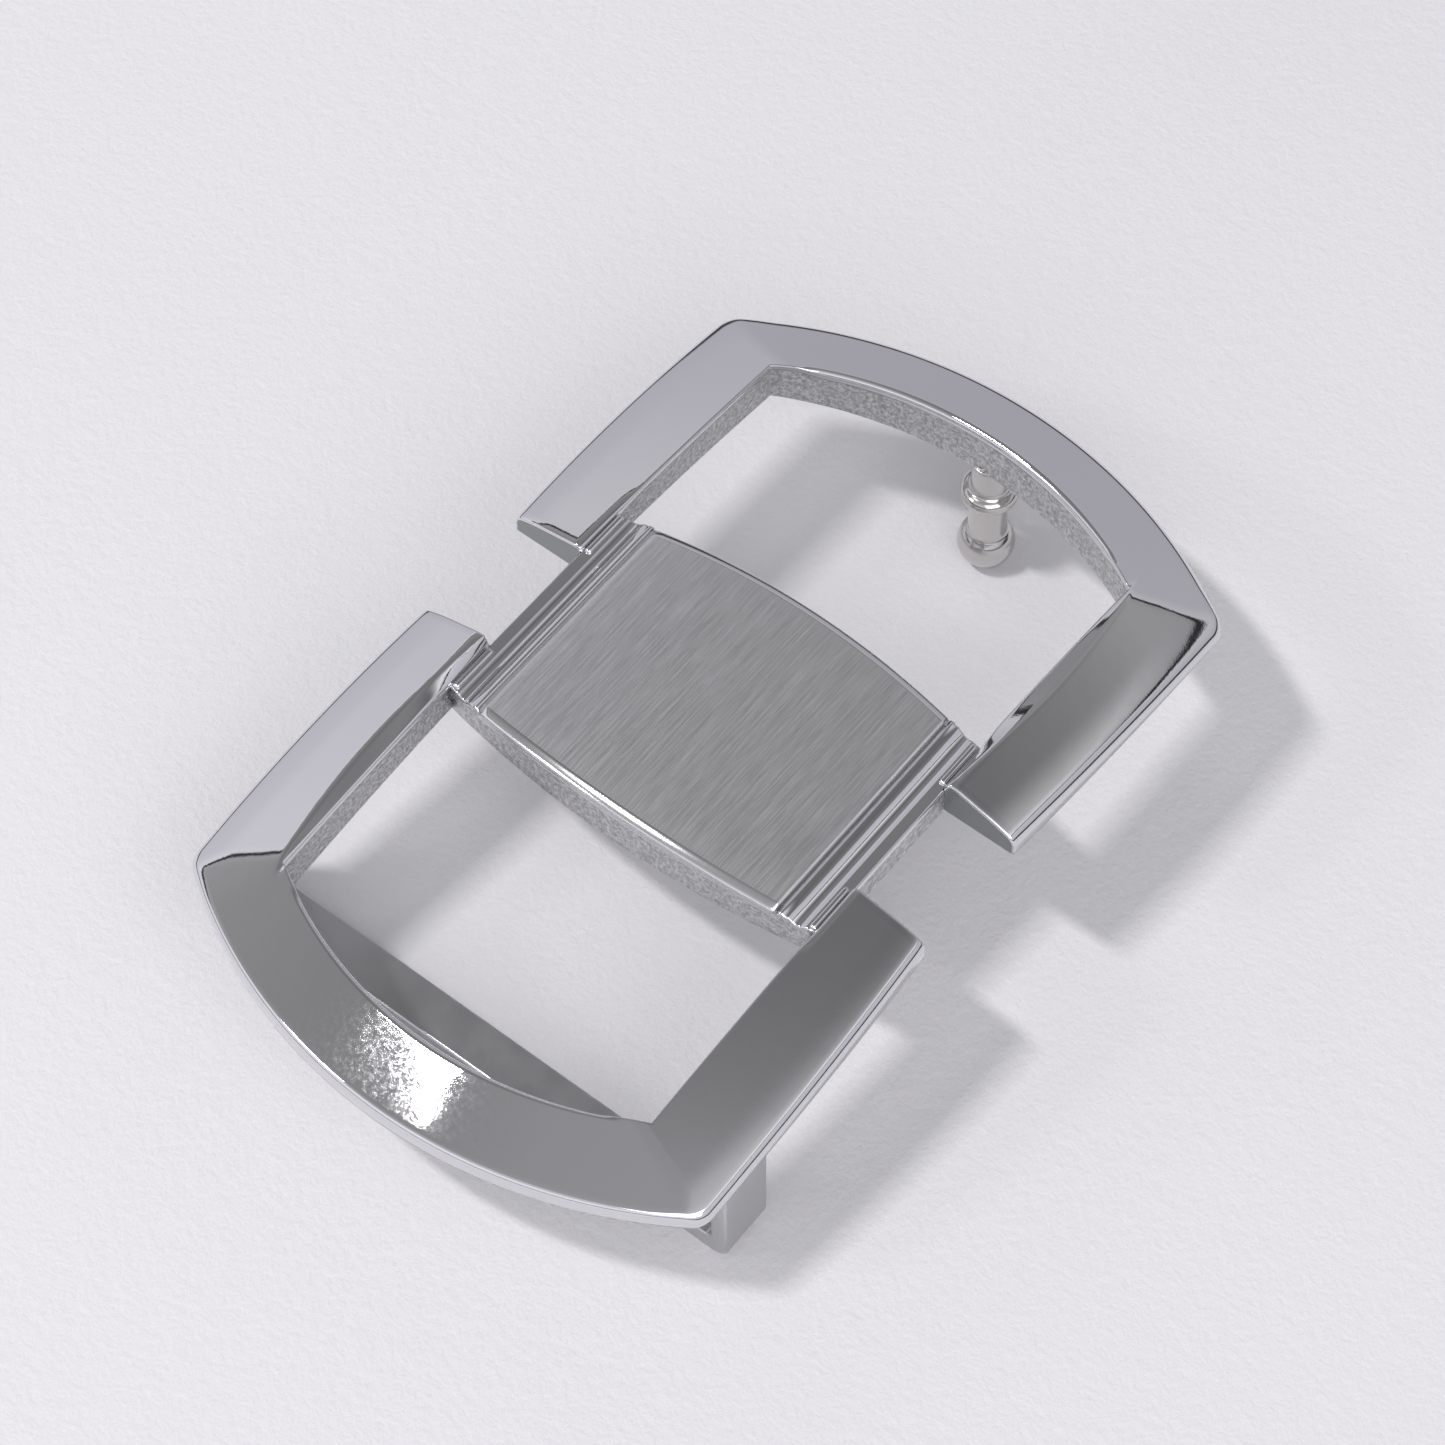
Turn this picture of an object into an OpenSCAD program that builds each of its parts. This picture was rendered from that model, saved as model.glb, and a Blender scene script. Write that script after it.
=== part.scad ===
// Dress belt buckle: two D-shaped frames joined by a centre plate, with a fixed belt
// loop under one end and a turned belt stud under the other. All sizes in millimetres.
// X runs along the belt towards the stud, Y across the belt, Z out of the buckle's face.
// The origin is under the buckle's centre, level with the tip of the stud.

/* [Frames] */
// Half the buckle's length along the belt, at the top of each bow
half_l = 36.9; // [36:0.1:38]
// Radius of the bows' outer edge
bow_r = 39; // [37:0.5:42]
// Radius of the D openings' round side, about the buckle's centre
slot_r = 31.3; // [30.5:0.1:32]
// Outward fall of the bows' faces, in millimetres for each millimetre
bow_slope = 0.375; // [0.3:0.005:0.42]
// Height of the bows' inner edge above the face level
bow_top = 0.1; // [0:0.05:0.2]
// Width of the buckle across the belt, where it is widest
frame_w = 45.5; // [44:0.1:46]
// Radius of the slightly bowed outer sides of the arms
side_r = 260; // [200:10:320]
// Distance from the buckle's centre to the widest place of each frame
side_x = 22; // [18:1:26]
// Width of the D openings across the belt
slot_w = 32; // [31:0.1:33]
// Outward fall of the arms' faces, in millimetres for each millimetre
arm_slope = 0.3; // [0.25:0.005:0.35]
// Height of the arms' faces at the buckle's middle, carried on to the inner edge
arm_top = 2.15; // [2:0.05:2.3]
// Inward fall of the narrow shoulder along an arm's inner edge
shoulder_slope = 0.2; // [0.15:0.01:0.25]
// Height of the shoulder's inner edge at the buckle's middle
shoulder_top = 1.45; // [1.3:0.05:1.6]
// Gap between the arm ends of the two frames
end_gap = 10; // [8:0.5:11]
// Radius of the four outer corners
corner_r = 1.8; // [1:0.1:2.5]

/* [Arch along the belt] */
// Radius of the arch of the arms' faces
crown_r = 190; // [170:5:220]
// Radius of the arch of the arms' shoulders
shoulder_r = 240; // [220:5:280]
// Radius of the arch of the underside
under_r = 175; // [165:5:220]
// Depth of the underside at the buckle's centre, below the face level
under_z = 1.75; // [1.5:0.05:2]
// Depth of a bow's underside at its inner edge
bow_under_z = 4.55; // [4.2:0.05:4.8]
// Outward rise of a bow's underside, in millimetres for each millimetre
bow_under_slope = 0.18; // [0.05:0.01:0.25]
// Radius of the arch of the chamfer under the arms' outer sides
side_under_r = 272; // [240:4:300]
// Depth of that chamfer's plane at the openings' sides, at the buckle's centre
side_under_z = 2.75; // [2.5:0.05:3]
// Outward rise of the chamfer, in millimetres for each millimetre
side_under_slope = 0.15; // [0.1:0.01:0.2]

/* [Centre plate] */
// Half length of the plate along the belt, at its middle
plate_half = 10.8; // [10:0.1:11.5]
// Radius of the plate's two bowed edges
plate_edge_r = 90; // [80:5:120]
// Length of the satin panel across the belt
panel_l = 26.3; // [25:0.1:27]
// Thickness of the satin panel
panel_t = 0.7; // [0.5:0.1:0.9]
// Height of the panel's crown above the face level
panel_top = 2; // [1.9:0.05:2.2]
// Radius of the panel's crown across the belt
panel_crown_r = 106; // [95:1:120]
// Width of the two thin steps beside each end of the panel
step_w = 0.4; // [0.3:0.05:0.5]
// How far the plate stands out between the arm ends
tab_out = 0.2; // [0.1:0.1:0.6]
// Radius of the half-round beads along the joints
bead_r = 0.3; // [0.2:0.05:0.35]

/* [Belt loop] */
// Width of the loop across the belt, outside
loop_out = 44.5; // [44:0.1:45]
// Width of the loop's legs, along the belt
loop_w = 4.5; // [4:0.1:5]
// How much narrower the cross bar is, on the side towards the plate
bar_in = 1; // [0.6:0.1:1.4]
// Distance from the buckle's centre to the middle of the band
loop_x = 24.7; // [23:0.05:25]
// Thickness of the loop's legs
leg_t = 1.4; // [1.2:0.1:1.6]
// Thickness of the loop's cross bar
bar_t = 1.8; // [1.5:0.1:2]
// Depth of the loop below the face level
loop_depth = 12.9; // [12:0.1:14]
// Outer radius of the loop's two bends
loop_bend_r = 1.3; // [0.8:0.1:1.7]

/* [Belt stud] */
// Distance from the buckle's centre to the stud's axis
stud_x = 32.7; // [32.5:0.1:33.5]
// Depth of the stud's tip below the face level
stud_depth = 16.8; // [16:0.1:18]
// Diameter of the stud's stem and neck
neck_d = 2.9; // [2.6:0.1:3.2]
// Diameter of the ball at the tip
ball_d = 4.4; // [4:0.1:5]
// Diameter of the collar
collar_d = 4.4; // [4:0.1:5]
// Distance from the stud's tip to the middle of the collar
collar_h = 8.5; // [8:0.1:9]
// Diameter of the spigot that is fixed in the bow
spigot_d = 1.6; // [1.2:0.1:2]
// Length of the spigot
spigot_l = 1.6; // [1.2:0.1:2]

/* [Hidden] */
$fn = 96;

face_h = stud_depth;           // height of the face level above the stud's tip
half_w = frame_w / 2;
slot_half = slot_w / 2;
loop_half = loop_out / 2;
arm_x = end_gap / 2;           // where the arms end
tall = 60;                     // more than the height of anything here
panel_half = panel_l / 2;
panel_edge_z = panel_top - panel_crown_r + sqrt(panel_crown_r * panel_crown_r - panel_half * panel_half);
cove_y = panel_half + 2 * step_w;
ledge_y = slot_half - 2.4 * bead_r;
ledge_z = panel_edge_z - 0.4;  // the flat strip that a bead lies on
bead_y = slot_half - 1.1 * bead_r;
bead_x = [arm_x + 0.2, plate_half - 1.5];
steel = [0.78, 0.78, 0.8];
satin = [0.6, 0.6, 0.62];

// Where the underside of a bow is, at a distance r from the buckle's centre.
function bow_under_at(r) = -bow_under_z + bow_under_slope * (r - slot_r);

// Everything above the arched underside of the frames and the plate.
module above_underside() {
  difference() {
    cube([100, 60, 30], center = true);
    translate([0, 0, -under_z - under_r])
      rotate([90, 0, 0]) cylinder(r = under_r, h = 80, center = true, $fn = 360);
  }
}

// Everything above the underside of the bows, which rises towards their outer edge.
module above_bow_underside() {
  rotate_extrude($fn = 360)
    polygon([[0, bow_under_at(0)], [60, bow_under_at(60)], [60, 30], [0, 30]]);
}

// Everything below the plane of the chamfer under the arms, which rises outwards.
module below_side_chamfer() {
  below_arch(side_under_r, -side_under_z, -side_under_slope, side_under_slope);
}

// Everything below a surface that arches along the belt with a radius r. Its height over
// the openings' sides is top; it rises by inward and outward, in millimetres for each
// millimetre, towards the buckle's middle line and towards its outer sides.
module below_arch(r, top, inward, outward) {
  middle = r + inward * slot_half;
  side = r + outward * (40 - slot_half);
  translate([0, 0, top - r]) rotate([90, 0, 0]) rotate_extrude($fn = 360)
    polygon([[r - 40, -40], [side, -40], [r, -slot_half], [middle, 0],
             [r, slot_half], [side, 40], [r - 40, 40]]);
}

// Everything below the conical face of both bows.
module below_bow_face() {
  rotate_extrude($fn = 360)
    polygon([[0, -30], [60, -30], [60, bow_top - bow_slope * (60 - slot_r)],
             [0, bow_top + bow_slope * slot_r]]);
}

// What is cut off one outer corner, between an arm's side and the bow's rim. The
// corner's arc touches both, so its centre is where two smaller circles cross.
module corner_waste() {
  rim = [half_l - bow_r, 0];
  side = [side_x, half_w - side_r];
  rim_in = bow_r - corner_r;
  side_in = side_r - corner_r;
  apart = norm(rim - side);
  along = (rim - side) / apart;
  step = (side_in * side_in - rim_in * rim_in + apart * apart) / (2 * apart);
  off = sqrt(side_in * side_in - step * step);
  mid = side + step * along + off * [along[1], -along[0]];
  on_side = side + (mid - side) * side_r / side_in;
  on_rim = rim + (mid - rim) * bow_r / rim_in;
  difference() {
    polygon([mid, on_side, on_side + [2, 2], on_rim + [2, 2], on_rim]);
    translate(mid) circle(r = corner_r);
  }
}

// One D frame seen from above, on the stud's side.
module frame_outline() {
  difference() {
    intersection() {
      translate([half_l - bow_r, 0]) circle(r = bow_r, $fn = 360);
      translate([side_x, half_w - side_r]) circle(r = side_r, $fn = 720);
      translate([side_x, side_r - half_w]) circle(r = side_r, $fn = 720);
      translate([arm_x, -half_w]) square([half_l, frame_w]);
    }
    intersection() {
      circle(r = slot_r, $fn = 360);
      translate([0, -slot_half]) square([half_l, slot_w]);
    }
    corner_waste();
    mirror([0, 1]) corner_waste();
  }
}

module frame_body() {
  difference() {
    intersection() {
      linear_extrude(tall, center = true) frame_outline();
      below_arch(crown_r, arm_top, arm_slope, -arm_slope);
      below_arch(shoulder_r, shoulder_top, 1, shoulder_slope);
      below_bow_face();
      above_underside();
      above_bow_underside();
    }
    below_side_chamfer();
  }
}

module stud_end_frame() {
  color(steel) translate([0, 0, face_h]) difference() {
    frame_body();
    translate([stud_x, 0, bow_under_at(stud_x) - 2])
      cylinder(d = spigot_d, h = spigot_l + 2);
  }
}

module loop_end_frame() {
  color(steel) translate([0, 0, face_h]) mirror([1, 0, 0]) frame_body();
}

// The plate's bowed outline, cut off at half_l on both sides across the belt.
module plate_outline(half_l) {
  intersection() {
    translate([plate_half - plate_edge_r, 0]) circle(r = plate_edge_r, $fn = 360);
    translate([plate_edge_r - plate_half, 0]) circle(r = plate_edge_r, $fn = 360);
    square([4 * plate_half, 2 * half_l], center = true);
  }
}

// Everything below the panel's crown, lowered by a depth.
module below_crown(depth) {
  translate([0, 0, panel_top - panel_crown_r])
    rotate([0, 90, 0]) cylinder(r = panel_crown_r - depth, h = 60, center = true, $fn = 360);
}

// The plate's section across the belt beside the panel: two thin steps and a hollow
// cove, then a flat strip for the beads.
module flank_section() {
  cove_r = 2.6;
  cove_mid = (cove_y + ledge_y) / 2;
  difference() {
    polygon([
      [panel_half, -10], [panel_half, panel_edge_z - 0.1],
      [panel_half + step_w, panel_edge_z - 0.1], [panel_half + step_w, panel_edge_z - 0.22],
      [cove_y, panel_edge_z - 0.22], [ledge_y, ledge_z],
      [slot_half, ledge_z], [slot_half, -10]
    ]);
    translate([cove_mid, panel_edge_z + cove_r - 0.45]) circle(r = cove_r);
  }
}

// The rounded side of the plate that fills the space between the arm ends.
module tab_section() {
  tab_y = slot_half + tab_out;
  polygon([
    [slot_half, -10], [slot_half, ledge_z], [slot_half + 0.6 * tab_out, ledge_z - 0.15],
    [tab_y, ledge_z - 0.4], [tab_y, -10]
  ]);
}

// Stands a section drawn in the Y and Z directions along X, over a length l.
module along_x(l) {
  rotate([90, 0, 90]) linear_extrude(l, center = true) children();
}

module centre_plate() {
  color(steel) translate([0, 0, face_h]) intersection() {
    above_underside();
    union() {
      intersection() {
        linear_extrude(tall, center = true) plate_outline(slot_half);
        union() {
          intersection() {
            below_crown(panel_t);
            cube([60, panel_l, tall], center = true);
          }
          for (side = [0, 1]) mirror([0, side, 0]) along_x(60) flank_section();
        }
      }
      for (side = [0, 1]) mirror([0, side, 0]) along_x(end_gap) tab_section();
    }
  }
}

module satin_panel() {
  color(satin) translate([0, 0, face_h]) intersection() {
    linear_extrude(tall, center = true) plate_outline(panel_half);
    difference() {
      below_crown(0);
      below_crown(panel_t);
      translate([0, 0, -50]) cube([100, 60, 100], center = true);
    }
  }
}

// One half-round bead with round ends, in the corner between the plate and an arm.
module bead() {
  translate([0, bead_y, ledge_z]) intersection() {
    union() {
      translate([bead_x[0] + bead_r, 0, 0]) sphere(r = bead_r, $fn = 32);
      translate([bead_x[1] - bead_r, 0, 0]) sphere(r = bead_r, $fn = 32);
      translate([bead_x[0] + bead_r, 0, 0]) rotate([0, 90, 0])
        cylinder(r = bead_r, h = bead_x[1] - bead_x[0] - 2 * bead_r, $fn = 32);
    }
    translate([0, -1, 0]) cube([20, 2, 2]);
  }
}

module joint_beads() {
  color(steel) translate([0, 0, face_h])
    for (mx = [0, 1], my = [0, 1]) mirror([mx, 0, 0]) mirror([0, my, 0]) bead();
}

// The loop's band seen along the belt: two legs and the cross bar, with round bends.
module loop_section() {
  inside_r = loop_bend_r / 2;
  inside_half = loop_half - leg_t;
  inside_z = -loop_depth + bar_t;
  bend_z = -loop_depth + loop_bend_r;
  difference() {
    union() {
      translate([-loop_half, bend_z]) square([loop_out, -bend_z]);
      translate([-loop_half + loop_bend_r, -loop_depth]) square([loop_out - 2 * loop_bend_r, 5]);
      for (s = [-1, 1]) translate([s * (loop_half - loop_bend_r), bend_z]) circle(r = loop_bend_r);
    }
    translate([-inside_half, inside_z + inside_r]) square([2 * inside_half, 40]);
    translate([-inside_half + inside_r, inside_z]) square([2 * (inside_half - inside_r), 5]);
    for (s = [-1, 1]) translate([s * (inside_half - inside_r), inside_z + inside_r])
      circle(r = inside_r);
  }
}

// What is taken off the cross bar between the legs, seen from above, with round ends.
module bar_waste() {
  reach = loop_half - leg_t;
  edge = loop_w / 2 - loop_x;
  translate([edge - bar_in, -reach + bar_in]) square([bar_in + 1, 2 * (reach - bar_in)]);
  for (s = [-1, 1]) intersection() {
    translate([edge, s * (reach - bar_in)]) circle(r = bar_in);
    translate([edge - bar_in, s * reach - (s > 0 ? bar_in : 0)]) square(bar_in);
  }
}

module belt_loop() {
  color(steel) translate([0, 0, face_h]) difference() {
    intersection() {
      translate([-loop_x, 0, 0]) along_x(loop_w) loop_section();
      below_side_chamfer();
    }
    translate([0, 0, -loop_depth - 1]) linear_extrude(bar_t + loop_bend_r + 1) bar_waste();
  }
}

// Half the turned stud's section: radius and height above the tip.
module stud_section() {
  neck = neck_d / 2;
  ball = ball_d / 2;
  top = face_h + bow_under_at(stud_x);
  difference() {
    union() {
      translate([0, ball]) square([neck, top - ball]);
      translate([0, ball]) square([spigot_d / 2, top + spigot_l - ball]);
      translate([0, ball]) circle(d = ball_d);
      translate([neck, collar_h]) circle(d = collar_d - neck_d);
    }
    translate([-50, -1]) square([50, 100]);
  }
}

module belt_stud() {
  color(satin) translate([stud_x, 0, 0]) rotate_extrude() stud_section();
}

stud_end_frame();
loop_end_frame();
centre_plate();
satin_panel();
joint_beads();
belt_loop();
belt_stud();
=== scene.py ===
"""A dress belt buckle on a pale studio table: detailed meshes, metal materials, light and camera.

Lengths in the dimension section are millimetres in the CAD model's frame, measured from the
buckle's face level; place() turns them into metres in the row frame.
"""
import math
import bpy
import numpy as np
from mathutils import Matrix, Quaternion, Vector


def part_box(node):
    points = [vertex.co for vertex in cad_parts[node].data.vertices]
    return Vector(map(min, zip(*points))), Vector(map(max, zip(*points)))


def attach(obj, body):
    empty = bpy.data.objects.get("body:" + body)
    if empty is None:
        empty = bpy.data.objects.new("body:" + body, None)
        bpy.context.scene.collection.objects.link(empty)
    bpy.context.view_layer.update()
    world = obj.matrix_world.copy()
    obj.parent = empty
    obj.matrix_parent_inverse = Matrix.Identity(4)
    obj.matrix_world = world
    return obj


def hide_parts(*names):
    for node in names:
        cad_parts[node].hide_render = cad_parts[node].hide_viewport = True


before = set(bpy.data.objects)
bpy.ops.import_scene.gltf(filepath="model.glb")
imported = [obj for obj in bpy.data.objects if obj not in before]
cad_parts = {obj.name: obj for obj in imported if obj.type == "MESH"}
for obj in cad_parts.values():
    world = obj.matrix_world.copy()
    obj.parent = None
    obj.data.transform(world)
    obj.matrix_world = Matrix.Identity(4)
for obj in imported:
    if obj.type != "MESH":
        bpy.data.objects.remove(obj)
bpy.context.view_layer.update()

MM = 0.001


def box_mm(node):
    """A CAD node's lowest and highest corners in millimetres."""
    low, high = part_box(node)
    return np.array(low) / MM, np.array(high) / MM


# ---------------------------------------------------------------- dimensions
FRAME_LOW, FRAME_HIGH = box_mm("stud_end_frame")
STUD_LOW, STUD_HIGH = box_mm("belt_stud")
LOOP_LOW, LOOP_HIGH = box_mm("belt_loop")
PLATE_HIGH = box_mm("centre_plate")[1]
PANEL_HIGH = box_mm("satin_panel")[1]
BEAD_LOW, BEAD_HIGH = box_mm("joint_beads")

FACE_H = 16.8                                  # the face level above the stud's tip
HALF_L, HALF_W = FRAME_HIGH[0], FRAME_HIGH[1]  # half the length along the belt and the width
BOW_R, SIDE_R, SIDE_X = 39.0, 260.0, 22.0      # the outline's arcs: bows and bowed sides
CORNER_R = 1.8                                 # the outer corners
SLOT_R, SLOT_HALF = 31.3, 16.0                 # the D openings
ARM_X = FRAME_LOW[0]                           # where the arms end
ARM_TOP, ARM_SLOPE, CROWN_R = 2.15, 0.3, 190.0  # the arms' faces
SHOULDER_TOP, SHOULDER_R = 1.45, 240.0         # the arms' inner edges
BOW_TOP, BOW_SLOPE = 0.1, 0.375                # the bows' faces
UNDER_Z, UNDER_R = 1.75, 175.0                 # the arched underside
BOW_UNDER_Z, BOW_UNDER_SLOPE = 4.55, 0.18      # the bows' underside
SIDE_UNDER_Z, SIDE_UNDER_R, SIDE_UNDER_SLOPE = 2.75, 272.0, 0.15  # the arms' lower chamfer
PLATE_HALF, PLATE_EDGE_R = PLATE_HIGH[0], 90.0  # the plate's bowed outline
PANEL_HALF = PANEL_HIGH[1]                     # half the satin panel's length across the belt
PANEL_TOP = PANEL_HIGH[2] - FACE_H             # the crown of the panel
PANEL_CROWN_R, PANEL_T = 106.0, 0.7
STEP_W, STEP_1_DROP, STEP_2_DROP = 0.4, 0.1, 0.22  # two steps beside the panel
COVE_DEPTH, LEDGE_DROP = 0.3, 0.4              # then a cove, and the ledge at the joint
TAB_OUT = PLATE_HIGH[1] - SLOT_HALF            # how far the plate stands out between the arms
BEAD_R = BEAD_HIGH[2] - BEAD_LOW[2]
COVE_Y = PANEL_HALF + 2 * STEP_W               # where the cove starts
LEDGE_Y = SLOT_HALF - 2.4 * BEAD_R             # where the ledge starts
LOOP_HALF = LOOP_HIGH[1]                       # half the strap loop's width, outside
LEG_T, BAR_T, BEND_R, BAR_IN = 1.4, 1.8, 1.3, 1.0  # the strap loop's band
STUD_X = (STUD_LOW[0] + STUD_HIGH[0]) / 2
BALL_R = (STUD_HIGH[0] - STUD_LOW[0]) / 2
NECK_R, COLLAR_Z = 1.45, 8.5

# The table touches the loop's bar and the stud's tip, so the buckle leans a little.
LEAN = math.atan2(LOOP_LOW[2], STUD_X - (LOOP_LOW[0] + LOOP_HIGH[0]) / 2)


# ---------------------------------------------------------------- mesh helpers
def place(points):
    """Millimetres from the face level to metres in the row frame."""
    points = np.asarray(points, dtype=float).copy()
    points[..., 2] += FACE_H
    return points * MM


def steps(start, end, count):
    """Evenly spaced values from start up to, but not including, end."""
    return list(np.linspace(start, end, count, endpoint=False))


def ring_mesh(name, rings, material, marks=None, flip=False):
    """A closed skin through rings of equal length, capped at both ends.

    marks holds one 0 to 1 value per vertex, kept as the point attribute "raw":
    where the surface is left as it was cast.
    """
    rings = np.asarray(rings)
    count, around = rings.shape[:2]
    faces = []
    for i in range(count - 1):
        for j in range(around):
            k = (j + 1) % around
            low, high = i * around, (i + 1) * around
            faces.append((low + j, low + k, high + k, high + j))
    faces.append(tuple(range(around - 1, -1, -1)))
    faces.append(tuple(range((count - 1) * around, count * around)))
    if flip:
        faces = [face[::-1] for face in faces]
    mesh = bpy.data.meshes.new(name)
    mesh.from_pydata(place(rings.reshape(-1, 3)).tolist(), [], faces)
    mesh.polygons.foreach_set("use_smooth", [True] * len(mesh.polygons))
    raw = mesh.attributes.new("raw", "FLOAT", "POINT")
    values = np.zeros(count * around) if marks is None else np.ravel(marks).astype(float)
    raw.data.foreach_set("value", values)
    mesh.materials.append(material)
    piece = bpy.data.objects.new(name, mesh)
    bpy.context.collection.objects.link(piece)
    even = piece.modifiers.new("even_normals", "WEIGHTED_NORMAL")
    even.weight = 80
    return piece


def finish_piece(piece, slot, *nodes):
    """Puts a piece on the one body and in place of its CAD nodes."""
    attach(piece, "root")
    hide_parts(*nodes)


# ---------------------------------------------------------------- shapes of the faces
def soft_min(a, b, blend):
    """The lower of two heights, rounded where they cross."""
    gap = np.clip(0.5 + 0.5 * (b - a) / blend, 0, 1)
    return b * (1 - gap) + a * gap - blend * gap * (1 - gap)


def arc_drop(x, radius):
    """How far a circle has fallen at a distance x from its top."""
    return radius - np.sqrt(radius * radius - x * x)


def under(x, y=0):
    """Height of the underside: an arch along the belt that rises outwards under bows and arms."""
    arch = -UNDER_Z - arc_drop(x, UNDER_R)
    bow = -BOW_UNDER_Z + BOW_UNDER_SLOPE * (np.hypot(x, y) - SLOT_R)
    side = -SIDE_UNDER_Z - arc_drop(x, SIDE_UNDER_R) + SIDE_UNDER_SLOPE * (np.abs(y) - SLOT_HALF)
    return np.maximum(np.maximum(arch, bow), side)


def side_edge(x):
    """Half the width of a frame at a distance x along the belt."""
    return HALF_W - arc_drop(x - SIDE_X, SIDE_R)


ROLL_W, ROLL_DROP = 2.8, 0.28        # the soft roll towards an arm's outer side
MITRE_BLEND, SHOULDER_BLEND = 0.12, 0.1  # rounding where two faces cross, as a height
SHOULDER_L = 22.0                    # the shoulder swells and narrows again over this length
SHOULDER_END_W, SHOULDER_SWELL = 0.4, 0.95
GUTTER_PAST, GUTTER_FADE = 1.0, 2.5  # the gutter ends past the plate's edge, and fades out
GUTTER_W, GUTTER_DEPTH = (0.7, 1.3), (0.25, 0.4)  # on a flat arm, and on one with a shoulder


def frame_face(x, y, side):
    """Height of a D frame's face: sloping arms that meet the conical bow in a mitre.

    Along one arm of each frame a narrow shoulder, widest in the middle of the arm, falls to
    the inner edge; the other arm is polished flat. A shallow gutter runs along the joint
    with the plate.
    """
    across = np.abs(y) - SLOT_HALF
    arm_top = ARM_TOP - arc_drop(x, CROWN_R)
    inner_edge = SHOULDER_TOP - arc_drop(x, SHOULDER_R)
    along = np.clip((x - ARM_X) / SHOULDER_L, 0, 1)
    shoulder_w = SHOULDER_END_W + SHOULDER_SWELL * np.sin(math.pi * along)
    shoulder_slope = (arm_top - inner_edge) / shoulder_w - ARM_SLOPE
    shoulder = inner_edge + np.where(across > 0, shoulder_slope * across, -across)
    arm_w = side_edge(x) - SLOT_HALF
    flat = inner_edge - (inner_edge - arm_top + ARM_SLOPE * arm_w) / arm_w * across
    has_shoulder = y * side < 0
    ridged = soft_min(arm_top - ARM_SLOPE * across, shoulder, SHOULDER_BLEND)
    arm = np.where(has_shoulder, ridged, flat)
    arm -= ROLL_DROP * np.clip(1 - (arm_w - across) / ROLL_W, 0, 1) ** 2
    at_joint = np.clip((PLATE_HALF + GUTTER_PAST - x) / GUTTER_FADE, 0, 1)
    at_joint = at_joint * at_joint * (3 - 2 * at_joint)
    gutter_w, gutter_depth = (np.where(has_shoulder, wide, narrow)
                              for narrow, wide in (GUTTER_W, GUTTER_DEPTH))
    arm -= gutter_depth * at_joint * np.clip(1 - across / gutter_w, 0, 1) ** 2
    bow = BOW_TOP - BOW_SLOPE * (np.hypot(x, y) - SLOT_R)
    return soft_min(arm, bow, MITRE_BLEND)


def crown(y):
    """Height of the satin panel's crowned face."""
    return PANEL_TOP - arc_drop(y, PANEL_CROWN_R)


def plate_edge(y):
    """Half the plate's length along the belt, at a distance y across it."""
    return PLATE_HALF - arc_drop(y, PLATE_EDGE_R)


# ---------------------------------------------------------------- D frames
INNER_EDGE_R, LOWER_EDGE_R, END_EDGE_R = 0.22, 0.25, 0.22
ARM_EDGE_R, STUD_BOW_EDGE_R, LOOP_BOW_EDGE_R = 0.6, 0.85, 0.42  # rounding of the outer edge
BEVEL_W, BEVEL_SLOPE = 0.4, 0.85     # the narrow polished bevel inside the bows
HALF_RAW = 0.5                       # the raw mark of the dull arm ends
UNDER_RAW = 0.9                      # the raw mark of the underside


def outer_corner():
    """Centre of a frame's outer corner arc, and the arc's first and last angle."""
    rim = Vector((HALF_L - BOW_R, 0))
    side = Vector((SIDE_X, HALF_W - SIDE_R))
    rim_in, side_in = BOW_R - CORNER_R, SIDE_R - CORNER_R
    apart = (rim - side).length
    along = (rim - side) / apart
    step = (side_in ** 2 - rim_in ** 2 + apart ** 2) / (2 * apart)
    off = math.sqrt(side_in ** 2 - step ** 2)
    centre = side + step * along + off * Vector((along.y, -along.x))
    from_side, from_rim = centre - side, centre - rim
    return centre, math.atan2(from_side.y, from_side.x), math.atan2(from_rim.y, from_rim.x)


def frame_stations():
    """Pairs of inner and outer edge points along one D frame, from arm end to arm end."""
    corner, first, last = outer_corner()
    side_end = corner.x + CORNER_R * math.cos(first)
    inner_x = math.sqrt(SLOT_R ** 2 - SLOT_HALF ** 2)
    inner_a = math.asin(SLOT_HALF / SLOT_R)
    pairs = []
    # The stations crowd towards the corner, where the section turns fastest.
    for t in sorted(1 - (1 - t) ** 1.3 for t in steps(0, 1, 40) + [0.985, 0.993]):
        x = ARM_X + t * (side_end - ARM_X)
        pairs.append(((ARM_X + t * (inner_x - ARM_X), SLOT_HALF), (x, side_edge(x))))
    corner_share = 0.06              # the corner arc's share of the bow's inner edge
    for t in 0.5 * np.linspace(0, 1, 70) ** 1.5:
        a = inner_a * (1 - 2 * t)
        if t < corner_share:
            b = first + (last - first) * t / corner_share
            outer = (corner.x + CORNER_R * math.cos(b), corner.y + CORNER_R * math.sin(b))
        else:
            b = last * (1 - (t - corner_share) / (0.5 - corner_share))
            outer = (HALF_L - BOW_R + BOW_R * math.cos(b), BOW_R * math.sin(b))
        pairs.append(((SLOT_R * math.cos(a), SLOT_R * math.sin(a)), outer))
    mirrored = [((i[0], -i[1]), (o[0], -o[1])) for i, o in pairs[-2::-1]]
    return np.array(pairs + mirrored)


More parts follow.
